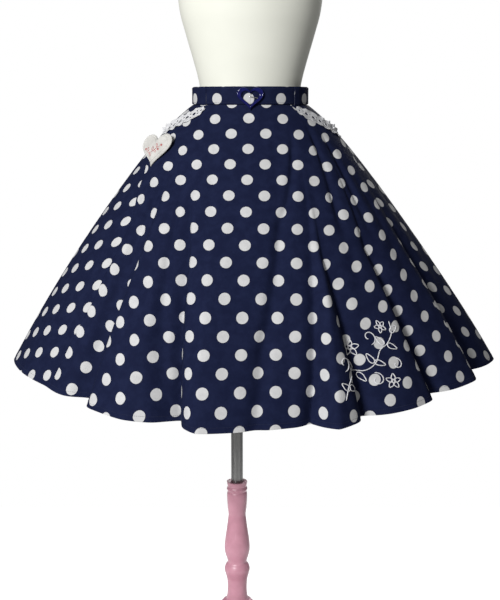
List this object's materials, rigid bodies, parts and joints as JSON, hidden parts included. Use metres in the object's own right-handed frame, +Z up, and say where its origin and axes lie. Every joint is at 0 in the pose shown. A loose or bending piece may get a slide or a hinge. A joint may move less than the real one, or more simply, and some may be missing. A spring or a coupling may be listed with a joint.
{
  "type": "circle skirt on a limbless dress form and stand",
  "caption": "Flared circle skirt with belt, heart buckle and lace-edged pockets, worn by a limbless torso form on a pole, turned post and round base.",
  "frame": {"origin": "centre of the round base's underside, on the floor under the pole's axis", "axes": "+Z up, front of the skirt towards -Y, +X to the right seen from the front"},
  "size_m": [1.0006, 0.9102, 1.66],
  "materials": {
    "dotted_cloth": "matt",
    "white_lace": "matt",
    "cream_felt": "matt",
    "buckle_gloss": "gloss",
    "prong_steel": "satin",
    "form_cover": "smooth matt",
    "pole_metal": "satin",
    "pink_paint": "satin paint"
  },
  "bodies": {
    "stand": {"base": "pink_paint", "post": "pink_paint"},
    "pole": {"pole": "pole_metal"},
    "form": {"front_panel": "dotted_cloth", "back_panel_left": "dotted_cloth", "back_panel_right": "dotted_cloth", "pocket_side_left": "dotted_cloth", "pocket_side_right": "dotted_cloth", "waistband": "dotted_cloth", "belt": "dotted_cloth", "belt_loop_left": "dotted_cloth", "belt_loop_right": "dotted_cloth", "belt_loop_back_left": "dotted_cloth", "belt_loop_back_right": "dotted_cloth", "buckle_frame": "buckle_gloss", "buckle_prong": "prong_steel", "lace_left": "white_lace", "lace_right": "white_lace", "heart_patch": "cream_felt", "torso_form": "form_cover"}
  },
  "joints": [
    {"name": "pole_height", "type": "slide", "parent": "stand", "child": "pole", "axis": [0, 0, 1], "range_m": [-0.1, 0.1]},
    {"name": "form_turn", "type": "hinge", "parent": "pole", "child": "form", "pos_m": [0, 0, 0.95], "axis": [0, 0, 1], "continuous": true}
  ]
}
